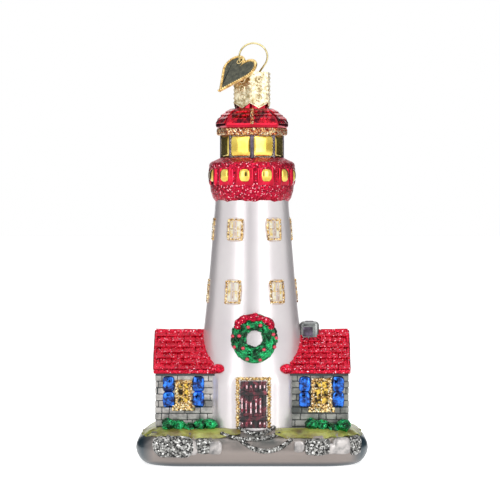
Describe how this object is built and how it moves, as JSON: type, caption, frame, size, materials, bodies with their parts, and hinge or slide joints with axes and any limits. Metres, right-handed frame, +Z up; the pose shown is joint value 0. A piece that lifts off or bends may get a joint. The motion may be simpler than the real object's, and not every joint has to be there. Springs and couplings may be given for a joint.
{
  "type": "hanging lighthouse ornament",
  "caption": "Hanging glass ornament shaped as a lighthouse between cottages, with a crown cap that turns, a wire loop that pulls out and a heart tag that swings.",
  "frame": {"origin": "middle of the flat underside of the ground slab", "axes": "+Z up, -Y the front with the door and the wreath, +X to the right seen from the front"},
  "size_m": [0.0692, 0.0434, 0.1254],
  "materials": {
    "blown_glass": "clear blown glass",
    "silver_film": "silver mirror film",
    "pearl_lacquer": "satin pearl white lacquer",
    "gold_glitter": "gold glitter set in lacquer",
    "yellow_lacquer": "translucent yellow lacquer over silver",
    "red_glitter": "red glitter set in lacquer",
    "mirror_gold": "transparent gold lacquer over silver",
    "dark_lacquer": "dark lacquer",
    "red_lacquer": "transparent red lacquer over silver",
    "stone_lacquer": "grey stone lacquer, brushed dark in the joints",
    "roof_lacquer": "red lacquer with fine glitter",
    "dark_stone_lacquer": "dark grey lacquer",
    "blue_lacquer": "transparent blue lacquer over silver",
    "door_lacquer": "black and maroon lacquer",
    "silver_glitter": "coarse silver glitter",
    "green_lacquer": "transparent green lacquer over silver",
    "ground_lacquer": "taupe grey lacquer with dark edges",
    "grass_lacquer": "yellow-green lacquer",
    "gold_tinplate": "stamped tinplate, pale gold plated",
    "gold_wire": "hard-drawn spring wire, gold plated"
  },
  "bodies": {
    "glass": {"glass_shell": "blown_glass", "silver_lining": "silver_film", "tower_pearl_coat": "pearl_lacquer", "tower_window_frames": "gold_glitter", "tower_window_panes": "yellow_lacquer", "gallery_red_coat": "red_glitter", "gallery_windows": "mirror_gold", "lantern_panes": "mirror_gold", "lantern_corner_bars": "dark_lacquer", "lantern_roof_coat": "red_lacquer", "lantern_roof_trim": "gold_glitter", "cottage_walls_left": "stone_lacquer", "cottage_walls_right": "stone_lacquer", "cottage_roof_left": "roof_lacquer", "cottage_roof_right": "roof_lacquer", "chimney": "dark_stone_lacquer", "cottage_window_frames": "gold_glitter", "cottage_window_panes": "yellow_lacquer", "cottage_shutters": "blue_lacquer", "door_leaf": "door_lacquer", "door_frame": "gold_glitter", "door_steps": "silver_glitter", "wreath": "green_lacquer", "wreath_berries": "red_lacquer", "wreath_bow": "red_glitter", "base_coat": "ground_lacquer", "base_rocks": "silver_glitter", "grass": "grass_lacquer", "bushes": "green_lacquer"},
    "cap": {"crown_cap": "gold_tinplate"},
    "hanger": {"hanger_wire": "gold_wire"},
    "tag": {"heart_tag": "gold_tinplate"}
  },
  "joints": [
    {"name": "cap_turn", "type": "hinge", "parent": "glass", "child": "cap", "pos_m": [0, 0, 0.11655], "axis": [0, 0, 1], "continuous": true},
    {"name": "hanger_pull", "type": "slide", "parent": "cap", "child": "hanger", "axis": [0, 0, 1], "range_m": [0, 0.0015]},
    {"name": "tag_swing", "type": "hinge", "parent": "hanger", "child": "tag", "pos_m": [-0.00349, -0.00114, 0.11968], "axis": [-0.5411, -0.5483, 0.6376], "range_deg": [-35, 30]}
  ]
}
